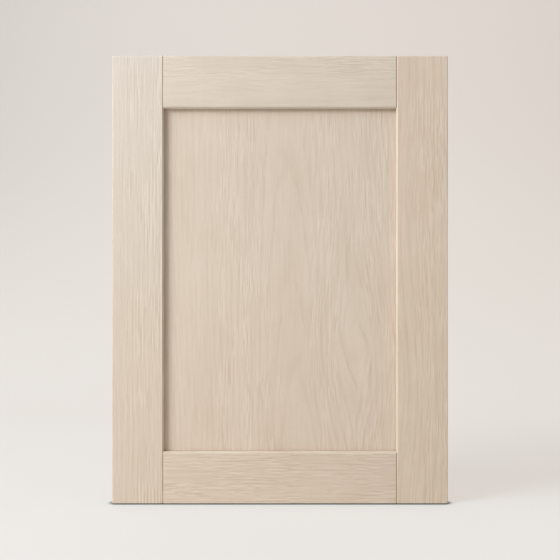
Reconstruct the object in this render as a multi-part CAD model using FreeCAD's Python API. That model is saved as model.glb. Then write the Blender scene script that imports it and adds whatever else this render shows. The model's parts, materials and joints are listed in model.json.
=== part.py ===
import FreeCAD, Part
import os
from FreeCAD import Vector

# A framed kitchen cabinet door with a flat sunk panel, standing upright on its bottom edge.
# X runs across the door, Y from its front face to its back, and Z up. The origin is under the
# middle of the bottom edge, halfway through the thickness. Every size is in millimetres.

# Whole door
door_width = 447.0
door_height = 597.0
door_thickness = 20.0

# Frame members, as wide as they show from the front
stile_width = 68.6
top_rail_width = 69.8
bottom_rail_width = 69.8

# Panel, and the groove that holds it
panel_thickness = 6.0
front_recess = 9.0
groove_depth = 12.0
panel_play = 0.1
panel_edge_gap = 4.0

# Machined edges
inner_bevel = 2.15
joint_bevel = 1.35
outer_round = 1.2
back_ease = 0.8

# Haunched tenons on the rails, and their mortises in the stiles
tenon_length = 35.0
haunch_width = 18.0
tenon_play = 0.1
tenon_end_gap = 1.0

# Borings for two concealed cup hinges, in the back of the left stile
cup_diameter = 35.0
cup_depth = 12.5
cup_edge_distance = 5.0
cup_point_diameter = 3.0
cup_point_depth = 1.5
hinge_end_distance = 100.0
screw_spacing = 45.0
screw_offset = 9.5
pilot_diameter = 3.0
pilot_depth = 10.0
pilot_point_depth = 0.9

# Rubber barrels, lying in the grooves and squeezed oval by the panel's edges
spacer_length = 15.0
spacer_inset = 90.0

# Places that several pieces share
front = -door_thickness / 2
back = door_thickness / 2
outer_edge = -door_width / 2
inner_edge = outer_edge + stile_width
rail_end = inner_edge - inner_bevel + joint_bevel
panel_front = front + front_recess
panel_back = panel_front + panel_thickness
panel_middle = (panel_front + panel_back) / 2
groove_front = panel_front - panel_play
groove_back = panel_back + panel_play
panel_tongue = groove_depth - panel_edge_gap
panel_side = inner_edge - panel_tongue
panel_bottom = bottom_rail_width - panel_tongue
panel_top = door_height - top_rail_width + panel_tongue
cup_x = outer_edge + cup_edge_distance + cup_diameter / 2


def block(x_range, y_range, z_range):
    """A box between two values on each axis."""
    corner = Vector(x_range[0], y_range[0], z_range[0])
    sides = [high - low for low, high in (x_range, y_range, z_range)]
    return Part.makeBox(*sides, corner)


def prism(corners, along):
    """A closed outline of straight sides, drawn out along a vector."""
    return Part.Face(Part.makePolygon(corners + corners[:1])).extrude(along)


def mirrored_across(shape):
    """The same piece on the other side of the door."""
    return shape.mirror(Vector(0, 0, 0), Vector(1, 0, 0))


def mirrored_upright(shape):
    """The same piece at the other end of the door."""
    return shape.mirror(Vector(0, 0, door_height / 2), Vector(0, 0, 1))


def rim_edges(shape, y):
    """The edges of a solid that lie wholly in the plane at y."""
    return [e for e in shape.Edges if abs(e.BoundBox.YMin - y) + abs(e.BoundBox.YMax - y) < 1e-6]


def door_envelope():
    """The outside of the glued-up door, rounded round its front rim and eased round its back rim."""
    slab = block((outer_edge, -outer_edge), (front, back), (0, door_height))
    slab = slab.makeFillet(outer_round, rim_edges(slab, front))
    return slab.makeChamfer(back_ease, rim_edges(slab, back))


def back_arris():
    """What easing takes off the back of the frame all round the opening: a plug that flares to the back."""
    half_width = back_ease - inner_edge
    low, high = bottom_rail_width - back_ease, door_height - top_rail_width + back_ease
    plug = block((-half_width, half_width), (back - back_ease, back + back_ease), (low, high))
    return plug.makeChamfer(back_ease, rim_edges(plug, back - back_ease))


def member_outline(width):
    """Section of a stile or rail as (across, y) pairs, across running from its outer to its inner edge.

    The inner edge has a bevel at the front and the panel's groove behind it.
    """
    floor = width - groove_depth
    return [
        (0.0, front),
        (width - inner_bevel, front),
        (width, front + inner_bevel),
        (width, groove_front),
        (floor, groove_front),
        (floor, groove_back),
        (width, groove_back),
        (width, back),
        (0.0, back),
    ]


def mortise(rail_width):
    """Pocket in the left stile, beyond its groove, for the lower rail's tenon."""
    return block(
        (inner_edge - tenon_length - tenon_end_gap, inner_edge),
        (groove_front, groove_back),
        (haunch_width - tenon_play, rail_width - groove_depth + tenon_play),
    )


def plain_stile():
    """The left stile as it is before boring: grooved, bevelled and mortised for both rails."""
    corners = [Vector(outer_edge + across, y, 0) for across, y in member_outline(stile_width)]
    stile = prism(corners, Vector(0, 0, door_height))
    stile = stile.cut([mortise(bottom_rail_width), mirrored_upright(mortise(top_rail_width))])
    return stile.common(door_envelope()).cut(back_arris()).removeSplitter()


def pointed_hole(x, z, diameter, depth, point_diameter, point_depth):
    """A blind hole in the back of the door, with the dimple that the drill's point leaves in its floor."""
    inward = Vector(0, -1, 0)
    wall = Part.makeCylinder(diameter / 2, depth, Vector(x, back, z), inward)
    point = Part.makeCone(point_diameter / 2, 0, point_depth, Vector(x, back - depth, z), inward)
    return wall.fuse(point)


def hinge_boring(z):
    """One hinge's cup and the two pilot holes for its screws."""
    cup = pointed_hole(cup_x, z, cup_diameter, cup_depth, cup_point_diameter, cup_point_depth)
    holes = [cup]
    for side in (-1, 1):
        screw_z = z + side * screw_spacing / 2
        hole = pointed_hole(
            cup_x + screw_offset, screw_z, pilot_diameter, pilot_depth, pilot_diameter, pilot_point_depth
        )
        holes.append(hole)
    return holes


def hinge_stile():
    """The left stile, bored for two hinges."""
    holes = hinge_boring(hinge_end_distance) + hinge_boring(door_height - hinge_end_distance)
    return plain_stile().cut(holes)


def end_cuts(rail_width):
    """What shaping takes off the lower rail's left end.

    In front, a bevel leaves half of the joint's V-groove. Behind it, the end is coped to sit on the
    stile's own bevel, which is the other half.
    """
    bevel = [
        Vector(rail_end, front, 0),
        Vector(rail_end + joint_bevel, front, 0),
        Vector(rail_end, front + joint_bevel, 0),
    ]
    cope = [
        Vector(rail_end, front + joint_bevel, 0),
        Vector(inner_edge, front + inner_bevel, 0),
        Vector(inner_edge, back, 0),
        Vector(rail_end, back, 0),
    ]
    return [prism(corners, Vector(0, 0, rail_width)) for corners in (bevel, cope)]


def lower_rail(rail_width):
    """A rail at the bottom of the door, with tenons for the mortises and haunches for the grooves."""
    corners = [Vector(rail_end, y, across) for across, y in member_outline(rail_width)]
    rail = prism(corners, Vector(-2 * rail_end, 0, 0))
    for cut in end_cuts(rail_width):
        rail = rail.cut([cut, mirrored_across(cut)])
    cheeks = (groove_front + tenon_play, groove_back - tenon_play)
    tenon_end = inner_edge - tenon_length
    haunch_end = inner_edge - groove_depth + tenon_end_gap
    tenons = block((tenon_end, -tenon_end), cheeks, (haunch_width, rail_width - groove_depth))
    haunches = block((haunch_end, -haunch_end), cheeks, (0, haunch_width))
    rail = rail.fuse([tenons, haunches]).removeSplitter()
    return rail.common(door_envelope()).cut(back_arris())


def panel():
    """The flat panel, which reaches into the grooves on all four sides."""
    return block((panel_side, -panel_side), (panel_front, panel_back), (panel_bottom, panel_top))


def spacer(middle, along):
    """A rubber barrel squeezed oval, its flats on the groove's floor and on the panel's edge."""
    half_width = Vector(0, panel_thickness / 2, 0)
    half_flat = Vector(0, (panel_thickness - panel_edge_gap) / 2, 0)
    half_height = along.cross(Vector(0, 1, 0)) * (panel_edge_gap / 2)
    near_end = middle - along * (spacer_length / 2)
    back_top = near_end + half_flat + half_height
    back_low = near_end + half_flat - half_height
    front_low = near_end - half_flat - half_height
    front_top = near_end - half_flat + half_height
    sides = [
        Part.Arc(back_top, near_end + half_width, back_low),
        Part.LineSegment(back_low, front_low),
        Part.Arc(front_low, near_end - half_width, front_top),
        Part.LineSegment(front_top, back_top),
    ]
    outline = Part.Wire([side.toShape() for side in sides])
    return Part.Face(outline).extrude(along * spacer_length)


def spacers():
    """Two spacers in each groove, halfway between the groove's floor and the panel's edge."""
    side = panel_side - panel_edge_gap / 2
    bottom = panel_bottom - panel_edge_gap / 2
    top = panel_top + panel_edge_gap / 2
    left, right = panel_side + spacer_inset, -panel_side - spacer_inset
    low, high = panel_bottom + spacer_inset, panel_top - spacer_inset
    across, upright = Vector(1, 0, 0), Vector(0, 0, 1)
    places = {
        "spacer_left_lower": (side, low, upright),
        "spacer_left_upper": (side, high, upright),
        "spacer_right_lower": (-side, low, upright),
        "spacer_right_upper": (-side, high, upright),
        "spacer_bottom_left": (left, bottom, across),
        "spacer_bottom_right": (right, bottom, across),
        "spacer_top_left": (left, top, across),
        "spacer_top_right": (right, top, across),
    }
    return {name: spacer(Vector(x, panel_middle, z), along) for name, (x, z, along) in places.items()}


pieces = {
    "stile_left": hinge_stile(),
    "stile_right": mirrored_across(plain_stile()),
    "rail_bottom": lower_rail(bottom_rail_width),
    "rail_top": mirrored_upright(lower_rail(top_rail_width)),
    "panel": panel(),
    **spacers(),
}
os.makedirs("parts", exist_ok=True)
for name, shape in pieces.items():
    shape.exportStep(f"parts/{name}.step")
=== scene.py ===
import json
import math

import bpy
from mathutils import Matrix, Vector


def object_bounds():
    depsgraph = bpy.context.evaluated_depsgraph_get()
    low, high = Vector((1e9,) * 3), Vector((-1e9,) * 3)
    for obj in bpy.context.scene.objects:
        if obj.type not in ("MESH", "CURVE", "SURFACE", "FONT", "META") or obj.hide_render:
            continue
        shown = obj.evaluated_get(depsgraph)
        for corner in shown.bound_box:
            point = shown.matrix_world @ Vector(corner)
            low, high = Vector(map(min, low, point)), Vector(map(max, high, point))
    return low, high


# The picture of a framed cabinet door in bleached oak, on pale paper in soft light from the left.
# Lengths are in metres, in the door's own frame: X across, Y from front to back, Z up. Colours with
# parts from 0 to 255 are given as they show on screen.

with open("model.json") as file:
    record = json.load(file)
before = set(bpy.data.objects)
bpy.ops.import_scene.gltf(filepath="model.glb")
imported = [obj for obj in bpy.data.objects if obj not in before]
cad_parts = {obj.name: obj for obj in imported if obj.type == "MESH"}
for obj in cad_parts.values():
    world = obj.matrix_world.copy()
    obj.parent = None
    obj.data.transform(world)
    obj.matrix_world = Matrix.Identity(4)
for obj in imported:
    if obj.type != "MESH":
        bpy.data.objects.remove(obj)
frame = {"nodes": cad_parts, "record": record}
cad_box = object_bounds()

MM = 0.001

# Camera, level with the middle of the door and square to its front
camera_distance = 1.5
view_width = 0.7457
sensor_width = 36.0

# Oak: the palest wood and the darkest lines, on the planed faces and in the bare hinge borings
oak_pale = (223, 210, 194)
oak_dark = (190, 169, 144)
bored_pale = (214, 186, 148)
bored_dark = (168, 134, 96)
end_grain_dark = 0.35
oak_roughness = 0.5
relief = 0.06 * MM
relief_strength = 0.6

# A board's tone changes from its lower one to its upper one between these heights, as painted light
tone_heights = (0.1, 0.6)

# Shade that is multiplied over the oak, in its corners and at the door's foot
corner_shade = (156, 148, 136)
corner_reach = 3 * MM
corner_open = 0.80
foot_height = 2.2 * MM
foot_shade = 0.2

# The borings' walls lie just inside these limits
bored_stile = "stile_left"
bored_slack = 0.1 * MM
bored_front = -4.5 * MM

# The growth rings of each board. "along" and "across" are the axes of the grain and of the board's
# width. The pith runs beside the board. Seen from the front, it crosses "level" at "pith" and leans
# by "lean". Its distance behind the front is nil at "start" and grows by "taper". "ring" is how far
# apart the rings are. An eye is a calm spot that the rings bend round: its middle (along, across), half
# length, half width and push.
# "line" is how dark the rings show, "fine" how strong the fine streaks are, "length" how many
# millimetres long they are, and "broad" how strong the wide ones are. The fine streaks fade in across
# the board between the two places in "streaky". The wood's colour is multiplied by the first tone at
# the door's foot and by the second at its top; these are partly the board's own tone and partly painted
# light.
boards = {
    "stile_left": dict(
        along="Z", across="X", tones_and_light=((0.985, 0.951, 0.935), (0.963, 0.987, 1.039)), seed=3.1,
        pith=-0.060, level=0.0, lean=0.0, start=-2.0, taper=0.010, ring=7.0 * MM,
        line=0.2, fine=2.2, length=60, broad=0.42, streaky=(-0.217, -0.190),
        eyes=[],
    ),
    "stile_right": dict(
        along="Z", across="X", tones_and_light=((1.014, 0.970, 0.928), (0.992, 0.942, 0.923)), seed=17.7,
        pith=0.330, level=0.0, lean=0.0, start=-2.0, taper=0.012, ring=11.0 * MM,
        line=0.38, fine=1.75, length=42, broad=1.35, streaky=(0.165, 0.205),
        eyes=[(0.172, 0.150, 0.120, 0.034, 0.027)],
    ),
    "rail_top": dict(
        along="X", across="Z", tones_and_light=((0.969, 0.960, 0.973), (0.969, 0.960, 0.973)), seed=29.3,
        pith=0.500, level=0.0, lean=0.0, start=1.2, taper=0.030, ring=9.0 * MM,
        line=0.28, fine=1.15, length=28, broad=1.1, streaky=(0.555, 0.580),
        eyes=[
            (-0.080, 0.543, 0.050, 0.022, 0.012),
            (0.016, 0.566, 0.010, 0.012, 0.006),
            (0.097, 0.540, 0.055, 0.022, 0.012),
        ],
    ),
    "rail_bottom": dict(
        along="X", across="Z", tones_and_light=((1.000, 0.956, 0.938), (1.000, 0.956, 0.938)), seed=41.9,
        pith=-0.140, level=0.0, lean=-0.012, start=-2.4, taper=0.010, ring=8.0 * MM,
        line=0.2, fine=1.5, length=26, broad=1.1, streaky=(-0.05, -0.03),
        eyes=[(-0.050, 0.020, 0.150, 0.030, 0.006)],
    ),
    "panel": dict(
        along="Z", across="X", tones_and_light=((1.011, 0.972, 0.961), (0.984, 0.960, 0.970)), seed=53.2,
        pith=0.027, level=0.077, lean=-0.050, start=-0.855, taper=0.050, ring=6.8 * MM,
        line=0.32, fine=1.25, length=40, broad=1.2, streaky=(-0.105, -0.075),
        eyes=[(0.212, 0.101, 0.130, 0.042, 0.036)],
    ),
}

# How the rings stray from even curves. For the long sways and the short ripples: waves per metre along
# and across the grain, and their reach. For the jags: waves per metre along it, width and reach.
sways = (5.0, 9.0, 6 * MM)
ripples = (14.0, 50.0, 1.8 * MM)
jag_waves = 30.0
jag_width = 5 * MM
jag_reach = 1.6 * MM

# A ring's line is full within the first distance of the ring's end and gone at the second, and it is
# broken up into dashes
line_core = 0.2 * MM
line_edge = 3.2 * MM
dash_width = 1.5 * MM
dash_length = 11 * MM

# Bands that follow the rings
band_width = 3.2 * MM
band_length = 95 * MM

# Streaks along the grain: a seed, then their width and length in millimetres
patches = (27, 20, 60)
clouds = (61, 36, 125)
blotches = (67, 12, 34)
wide_streaks = (21, 3.0, 95)
streaks = (33, 1.15, 45)
fine_streaks = (47, 0.6, 24)
pores = (73, 0.3, 7)

# The comb, fine even lines whose dark and pale change places from dash to dash: its phase in radians per
# millimetre across the grain, the streaks that shift it and by how much, and its dashes
comb_phase = 1.4
comb_drift = (55, 9, 70)
comb_shift = 3
comb_seed = 81
comb_width = 7

# How dark plain wood is, and how much each kind of mark darkens it, where 1 goes from the palest wood
# to the darkest. Then how much each kind raises the surface.
weight = dict(
    plain=0.27, shade=0.4, band=0.12, wide=0.18, cloud=0.22, blotch=0.14, streak=0.14,
    comb=0.12, fine=0.5, pore=0.16,
)
rise = dict(line=-0.3, fine=0.35, pore=-1.0)

# Moulded rubber, plain and where dust lies on it
rubber_black = (30, 30, 31)
rubber_dusty = (52, 51, 49)
rubber_roughness = 0.7

# Paper of the backdrop: its real colour, which lights the door. Then what is seen of it: its colours on
# the floor, low on the wall and high on it, darker upwards as painted light falloff, the part that takes
# real light and shadow, and the strength of its glow
paper_real = (226, 222, 217)
paper_floor = (235, 223, 216)
paper_low = (232, 219, 210)
paper_high = (226, 211, 202)
paper_shaded = (121, 132, 132)
paper_glow = 0.775

# Shares by which the paper's glow changes, as painted light and shade: on the wall per metre to the
# right and per square metre to either side, everywhere per metre to the back, and per metre to the
# right as a painted shadow of the door behind it, with as much painted light in front. Then how far
# from the door each of them still grows: to the sides, to the front and back, and to the right.
wall_right = 0.055
wall_sides = -0.12
to_the_back = 0.022
shadow_right = -0.14
sides_limit = 0.9
front_limit = -0.6
back_limit = 1.0
shadow_limit = 0.3

# Shade on the paper at the door's foot, close by and further out: how far it reaches, the open share at
# which it is darkest and what it leaves there
contact = (10 * MM, 0.6, 0.15)
nearby = (80 * MM, 0.4, 0.90)

# The sweep: a floor that ends at its foot, a quarter round of this radius and a wall
sweep_half_width = 12.0
sweep_near = -8.0
sweep_foot = 1.0
sweep_radius = 0.8
sweep_height = 6.0
sweep_steps = 32

# Light from all round: its colour and strength, and the colour that is seen where the paper ends
sky_light = (1.1, 1.0, 0.88, 1.0)
sky_strength = 0.25
sky_seen = (215, 207, 200)

door_front = cad_box[0].y
door_middle = (cad_box[0] + cad_box[1]) / 2


def rgb(red, green, blue):
    """A colour given as it shows on screen, in the linear values that a shader takes."""
    def linear(value):
        value /= 255
        return value / 12.92 if value <= 0.04045 else ((value + 0.055) / 1.055) ** 2.4
    return (linear(red), linear(green), linear(blue), 1.0)


class Field:
    """A number that varies over a surface. Plain arithmetic on it makes the shader nodes for the result."""

    def __init__(self, tree, socket):
        self.tree = tree
        self.socket = socket

    def math(self, operation, *others):
        node = self.tree.nodes.new("ShaderNodeMath")
        node.operation = operation
        for entry, value in zip(node.inputs, (self, *others)):
            put(self.tree, entry, value)
        return Field(self.tree, node.outputs[0])

    def __add__(self, other):
        return self.math("ADD", other)

    def __sub__(self, other):
        return self.math("SUBTRACT", other)

    def __mul__(self, other):
        return self.math("MULTIPLY", other)

    def __truediv__(self, other):
        return self.math("DIVIDE", other)

    __radd__ = __add__
    __rmul__ = __mul__

    def between(self, low, high):
        """0 up to low, 1 from high on, and a smooth step in between. High may be the smaller one."""
        node = self.tree.nodes.new("ShaderNodeMapRange")
        node.interpolation_type = "SMOOTHSTEP"
        put(self.tree, node.inputs["Value"], self)
        node.inputs["From Min"].default_value = low
        node.inputs["From Max"].default_value = high
        return Field(self.tree, node.outputs["Result"])

    def held(self, low, high):
        """The number itself, held between two limits."""
        return self.math("MAXIMUM", low).math("MINIMUM", high)


def put(tree, entry, value):
    """Sets a shader socket to a number, or links it to a field."""
    if isinstance(value, Field):
        tree.links.new(value.socket, entry)
    else:
        entry.default_value = value


def vector(tree, x, y, z):
    node = tree.nodes.new("ShaderNodeCombineXYZ")
    for entry, value in zip(node.inputs, (x, y, z)):
        put(tree, entry, value)
    return node.outputs[0]


def blend(tree, factor, first, second, kind="MIX"):
    """Two colours, each given or from a socket, mixed by a factor or multiplied together."""
    node = tree.nodes.new("ShaderNodeMix")
    node.data_type = "RGBA"
    node.blend_type = kind
    put(tree, node.inputs["Factor"], factor)
    for entry, colour in ((node.inputs["A"], first), (node.inputs["B"], second)):
        if isinstance(colour, bpy.types.NodeSocket):
            tree.links.new(colour, entry)
        else:
            entry.default_value = colour
    return node.outputs["Result"]


def multiplied(tree, first, second):
    return blend(tree, 1.0, first, second, "MULTIPLY")


def noise(tree, x, y, z, detail=2.0):
    """Smooth noise of about -0.5 to 0.5, whose lumps are about one unit of each coordinate across."""
    node = tree.nodes.new("ShaderNodeTexNoise")
    node.inputs["Scale"].default_value = 1.0
    node.inputs["Detail"].default_value = detail
    node.inputs["Roughness"].default_value = 0.5
    tree.links.new(vector(tree, x, y, z), node.inputs["Vector"])
    return Field(tree, node.outputs[0]) - 0.5


def parts(tree, socket):
    """The three components of a vector, by axis."""
    split = tree.nodes.new("ShaderNodeSeparateXYZ")
    tree.links.new(socket, split.inputs[0])
    return {axis: Field(tree, split.outputs[axis]) for axis in "XYZ"}


def place(tree):
    """The three coordinates of a point."""
    return parts(tree, tree.nodes.new("ShaderNodeTexCoord").outputs["Object"])


def openness(tree, reach, samples=16):
    """How much of the space round a point is free of other surfaces within a reach, from 0 to 1."""
    node = tree.nodes.new("ShaderNodeAmbientOcclusion")
    node.inputs["Distance"].default_value = reach
    node.samples = samples
    return Field(tree, node.outputs["AO"])


def parting(eye, along, across):
    """How far an eye moves the rings aside at each point, and how much it spreads them there."""
    middle_along, middle_across, half_length, half_width, push = eye
    near = (along - middle_along) / half_length
    aside = (across - middle_across) / half_width
    strength = ((near * near + aside * aside) * -1.0).math("EXPONENT") * -push
    return strength * aside, strength * (aside * aside * -2.0 + 1.0) / half_width


def ring_field(tree, board, along, across, depth):
    """The place across the grain with the eyes evened out, the distance from the pith, and the slope at
    which the rings meet the surface."""
    seed = board["seed"]

    def stray(waves_along, waves_across, reach, shift):
        return noise(tree, along * waves_along, across * waves_across, depth * waves_across + shift) * reach

    bend, squeeze = 0.0, 1.0
    for eye in board["eyes"]:
        shift, spread = parting(eye, along, across)
        bend = shift + bend
        squeeze = spread + squeeze
    straight = across + bend
    lean = (along - board["level"]) * board["lean"]
    side = straight - board["pith"] - lean + stray(*sways, seed) + stray(*ripples, seed + 5)
    jag = noise(tree, along * jag_waves, across / jag_width, seed + 3, detail=1.0) * jag_reach
    below = (along - board["start"]) * board["taper"] + depth + jag
    radius = (side * side + below * below).math("SQRT")
    return straight, radius, side / radius * squeeze


def ring_lines(tree, board, along, across, radius, slope):
    """The dark line that ends each ring, in dashes, and the soft shade that trails off beyond it."""
    seed = board["seed"]
    rings = radius / board["ring"]
    uneven = rings + noise(tree, rings * 0.35, along * 2.0, seed + 9) * 1.2
    phase = uneven.math("FRACT") - 0.5
    spread = (slope * slope + board["taper"] ** 2).math("SQRT")
    line = (phase.math("ABSOLUTE") * board["ring"] / spread).between(line_edge, line_core)
    ring_noise = noise(tree, along * 14.0, uneven.math("ROUND") * 7.0, seed + 15, detail=1.0)
    dash_noise = noise(tree, across / dash_width, along / dash_length, seed + 19, detail=1.0)
    dashes = dash_noise.between(-0.12, 0.12) * 0.6 + 0.4
    shade = phase.between(0.5, 0.0) * phase.between(-0.12, 0.0)
    return line * ring_noise.between(-0.08, 0.20) * dashes, shade


def oak_figure(tree, board, at):
    """How dark the wood is, from 0 to about 1, and how high its surface stands, from the board's rings."""
    along, across, depth = at[board["along"]], at[board["across"]], at["Y"]
    straight, radius, slope = ring_field(tree, board, along, across, depth)
    line, shade = ring_lines(tree, board, along, across, radius, slope)

    def fibres(seed, width, length):
        """Noise in streaks along the grain."""
        deep = depth / (width * MM) + (board["seed"] + seed)
        return noise(tree, straight / (width * MM), along / (length * MM), deep, detail=1.0)

    steep = slope.math("ABSOLUTE").between(0.2, 0.7)
    zone = across.between(*board["streaky"]) * 0.75 + 0.25
    patch = fibres(*patches).between(-0.08, 0.08) * 0.8 + 0.2
    lively = steep * zone * patch + 0.12
    band = noise(tree, radius / band_width, along / band_length, board["seed"] + 24)
    streak = fibres(*streaks).between(-0.10, 0.12) - 0.45
    fine = fibres(*fine_streaks)
    phase = straight / MM * comb_phase + fibres(*comb_drift) * comb_shift
    side = fibres(comb_seed, comb_width, board["length"]).between(-0.09, 0.09) * 2.0 - 1.0
    comb = phase.math("SINE") * side
    pore = fibres(*pores).between(0.10, 0.22)
    wide = fibres(*wide_streaks) * weight["wide"]
    cloud = fibres(*clouds) * weight["cloud"]
    blotch = fibres(*blotches) * weight["blotch"]
    dark = (
        weight["plain"]
        + line * (steep * -0.9 + 1.0) * board["line"]
        + shade * (patch * -0.8 + 1.0) * board["line"] * weight["shade"]
        + (band * weight["band"] + wide + cloud + blotch) * board["broad"]
        + streak * lively * weight["streak"] * board["broad"]
        + (comb * weight["comb"] + fine * weight["fine"]) * lively * board["fine"]
        + pore * weight["pore"]
    )
    height = line * rise["line"] + fine * rise["fine"] + pore * rise["pore"]
    return dark, height


def hinge_holes():
    """Every hole that the hinges need, as (x, z, radius), from the part's own record."""
    holes = []
    for mount in frame["record"]["mounts"]:
        x, _, z = mount["pos_m"]
        sizes = mount["dims"]
        if mount["kind"] == "bore":
            holes.append((x, z, sizes["r_mm"] * MM))
        elif mount["kind"] == "bolt_pattern":
            apart = sizes["spacing_y_mm"] * MM
            holes += [(x, z + side * apart, sizes["hole_r_mm"] * MM) for side in (-0.5, 0.5)]
    return holes


def inside_holes(at):
    """1 in the hinge holes, their walls and floors included, 0 everywhere else."""
    inside = 0.0
    for x, z, radius in hinge_holes():
        across, up = at["X"] - x, at["Z"] - z
        inside = (across * across + up * up).math("LESS_THAN", (radius + bored_slack) ** 2) + inside
    return inside * at["Y"].math("GREATER_THAN", bored_front)


def end_grain(tree, axis):
    """1 where the surface faces along the grain, 0 on the faces and edges of the board."""
    normal = tree.nodes.new("ShaderNodeNewGeometry").outputs["Normal"]
    return parts(tree, normal)[axis].math("ABSOLUTE").between(0.8, 1.0)


def oak_colour(tree, at, name, board, dark):
    """The board's colour, with its tone on the faces, partly its own and partly painted light, and the bare
    wood in the borings.
    """
    low_tone, high_tone = ((*tone, 1.0) for tone in board["tones_and_light"])
    # The board's own tone and painted light, changing from the door's foot to its top
    tone = blend(tree, at["Z"].between(*tone_heights), low_tone, high_tone)
    colour = multiplied(tree, blend(tree, dark, rgb(*oak_pale), rgb(*oak_dark)), tone)
    if name == bored_stile:
        bare = blend(tree, dark, rgb(*bored_pale), rgb(*bored_dark))
        colour = blend(tree, inside_holes(at), colour, bare)
    return colour


def oak_material(name, board):
    material = bpy.data.materials.new(name)
    material.use_nodes = True
    tree = material.node_tree
    shader = tree.nodes["Principled BSDF"]
    at = place(tree)
    dark, height = oak_figure(tree, board, at)
    dark = dark + end_grain(tree, board["along"]) * end_grain_dark
    colour = oak_colour(tree, at, name, board, dark)
    open_share = openness(tree, corner_reach, samples=8).between(0.0, corner_open)
    corner = blend(tree, open_share, rgb(*corner_shade), (1, 1, 1, 1))
    foot = at["Z"].between(0.0, foot_height) * (1 - foot_shade) + foot_shade
    colour = multiplied(tree, colour, multiplied(tree, corner, foot.socket))
    tree.links.new(colour, shader.inputs["Base Color"])
    shader.inputs["Roughness"].default_value = oak_roughness
    bump = tree.nodes.new("ShaderNodeBump")
    bump.inputs["Distance"].default_value = relief
    bump.inputs["Strength"].default_value = relief_strength
    put(tree, bump.inputs["Height"], height)
    tree.links.new(bump.outputs["Normal"], shader.inputs["Normal"])
    return material


def rubber_material():
    """Black moulded rubber, a little dusty."""
    material = bpy.data.materials.new("rubber")
    material.use_nodes = True
    tree = material.node_tree
    shader = tree.nodes["Principled BSDF"]
    dust = noise(tree, *(value / MM for value in place(tree).values())).between(-0.1, 0.3)
    tree.links.new(blend(tree, dust, rgb(*rubber_black), rgb(*rubber_dusty)), shader.inputs["Base Color"])
    shader.inputs["Roughness"].default_value = rubber_roughness
    return material


def add_camera():
    data = bpy.data.cameras.new("camera")
    data.sensor_width = sensor_width
    data.lens = sensor_width * camera_distance / view_width
    camera = bpy.data.objects.new("camera", data)
    camera.location = (door_middle.x, door_front - camera_distance, door_middle.z)
    camera.rotation_euler = (math.pi / 2, 0, 0)
    bpy.context.collection.objects.link(camera)
    bpy.context.scene.camera = camera


def add_light(name, direction, distance, size, power, colour):
    """A square area light that faces the middle of the door, from azimuth and elevation in degrees."""
    azimuth, elevation = (math.radians(angle) for angle in direction)
    offset = Vector((
        math.sin(azimuth) * math.cos(elevation),
        -math.cos(azimuth) * math.cos(elevation),
        math.sin(elevation),
    ))
    data = bpy.data.lights.new(name, "AREA")
    data.size = size
    data.energy = power
    data.color = colour
    light = bpy.data.objects.new(name, data)
    light.location = door_middle + offset * distance
    light.rotation_euler = (-offset).to_track_quat("-Z", "Y").to_euler()
    bpy.context.collection.objects.link(light)


def looked_at(tree):
    """1 where the background is seen, also in a reflection or through glass, 0 where it lights things."""
    ray = tree.nodes.new("ShaderNodeLightPath")
    camera, glossy, through = (
        Field(tree, ray.outputs[f"Is {kind} Ray"]) for kind in ("Camera", "Glossy", "Transmission")
    )
    return camera.math("MAXIMUM", glossy).math("MAXIMUM", through)


def lit_or_seen(tree, light, seen):
    """A shader that lights things as one and is seen as the other."""
    mix = tree.nodes.new("ShaderNodeMixShader")
    put(tree, mix.inputs[0], looked_at(tree))
    tree.links.new(light.outputs[0], mix.inputs[1])
    tree.links.new(seen.outputs[0], mix.inputs[2])
    return mix.outputs[0]


def add_world():
    """Even light from all round, which is seen and reflected in a colour of its own."""
    world = bpy.data.worlds.new("world")
    bpy.context.scene.world = world
    world.use_nodes = True
    tree = world.node_tree
    light = tree.nodes["Background"]
    light.inputs["Color"].default_value = sky_light
    light.inputs["Strength"].default_value = sky_strength
    seen = tree.nodes.new("ShaderNodeBackground")
    seen.inputs["Color"].default_value = rgb(*sky_seen)
    tree.links.new(lit_or_seen(tree, light, seen), tree.nodes["World Output"].inputs["Surface"])


def sweep_section():
    """The sweep from its near end to the top of its wall, as (y, z) pairs."""
    section = [(sweep_near, 0.0), (sweep_foot, 0.0)]
    for step in range(1, sweep_steps + 1):
        angle = math.pi / 2 * step / sweep_steps
        y = sweep_foot + sweep_radius * math.sin(angle)
        section.append((y, sweep_radius * (1 - math.cos(angle))))
    return section + [(sweep_foot + sweep_radius, sweep_height)]


def add_sweep():
    """A pale floor that curves up into a wall behind the door."""
    section = sweep_section()
    vertices = [(x, y, z) for y, z in section for x in (-sweep_half_width, sweep_half_width)]
    faces = [(2 * i, 2 * i + 1, 2 * i + 3, 2 * i + 2) for i in range(len(section) - 1)]
    mesh = bpy.data.meshes.new("sweep")
    mesh.from_pydata(vertices, [], faces)
    for polygon in mesh.polygons:
        polygon.use_smooth = True
    sweep = bpy.data.objects.new("sweep", mesh)
    mesh.materials.append(sweep_material())
    bpy.context.collection.objects.link(sweep)


# The colours in which the paper is seen: paler on the floor and darker high on the wall, a painted falloff
# of light
def paper_colour(tree, at):
    wall = blend(tree, at["Z"].between(0.3, 1.0), rgb(*paper_low), rgb(*paper_high))
    return blend(tree, at["Z"].between(0.0, 0.35), rgb(*paper_floor), wall)


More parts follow.
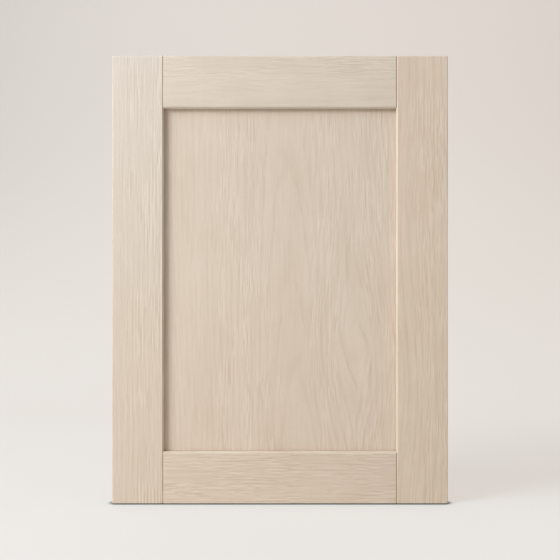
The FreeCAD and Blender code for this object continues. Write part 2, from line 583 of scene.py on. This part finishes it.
def paper_glow_and_painted_light(tree, at):
    """The strength of the paper's glow, with painted light falloff towards the wall's sides, a painted
    shadow where the door's shadow lies, and painted shade against the door's foot."""
    aside = at["X"].held(-sides_limit, sides_limit)
    sides = (aside * wall_right + aside * aside * wall_sides) * at["Z"].between(0.0, 0.7)
    back = at["Y"].held(front_limit, back_limit) * to_the_back
    # Painted shadow of the door on the paper behind it, and as much painted light in front of it
    behind = (at["Y"].between(-0.25, 0.25) * 2.0 - 1.0) * at["Y"].between(1.0, 0.4)
    shadow = at["X"].held(0.0, shadow_limit) * behind * shadow_right
    brightness = (sides + back + shadow + 1.0) * paper_glow
    for reach, darkest, left in (contact, nearby):
        brightness = brightness * (openness(tree, reach).between(darkest, 1.0) * (1 - left) + left)
    return brightness


def sweep_material():
    """Matt paper. It is seen pale and even, darker towards its upper corners as painted light falloff,
    with soft shadows on it, partly real and partly painted.
    """
    material = bpy.data.materials.new("sweep")
    material.use_nodes = True
    tree = material.node_tree
    tree.nodes.clear()
    at = place(tree)
    light = tree.nodes.new("ShaderNodeBsdfDiffuse")
    light.inputs["Color"].default_value = rgb(*paper_real)
    shaded = tree.nodes.new("ShaderNodeBsdfDiffuse")
    shaded.inputs["Color"].default_value = rgb(*paper_shaded)
    glow = tree.nodes.new("ShaderNodeEmission")
    tree.links.new(paper_colour(tree, at), glow.inputs["Color"])
    put(tree, glow.inputs["Strength"], paper_glow_and_painted_light(tree, at))
    seen = tree.nodes.new("ShaderNodeAddShader")
    tree.links.new(shaded.outputs[0], seen.inputs[0])
    tree.links.new(glow.outputs[0], seen.inputs[1])
    output = tree.nodes.new("ShaderNodeOutputMaterial")
    tree.links.new(lit_or_seen(tree, light, seen), output.inputs["Surface"])
    return material


add_camera()
add_light("key", direction=(-52, 27), distance=2.45, size=1.1, power=51.8, colour=(0.96, 1.0, 1.03))
add_light("top", direction=(-30, 70), distance=2.0, size=1.2, power=11.2, colour=(0.78, 1.0, 1.22))
add_light("fill", direction=(40, 10), distance=2.5, size=2.0, power=2.5, colour=(1.1, 1.0, 0.88))
add_light("rear", direction=(-150, 50), distance=1.9, size=1.2, power=4.5, colour=(1.0, 1.0, 1.0))
add_world()
add_sweep()

rubber = rubber_material()
for name, node in frame["nodes"].items():
    node.data.materials.clear()
    if name in boards:
        node.data.materials.append(oak_material(name, boards[name]))
    else:
        node.data.materials.append(rubber)

bpy.context.scene.view_settings.view_transform = "Standard"
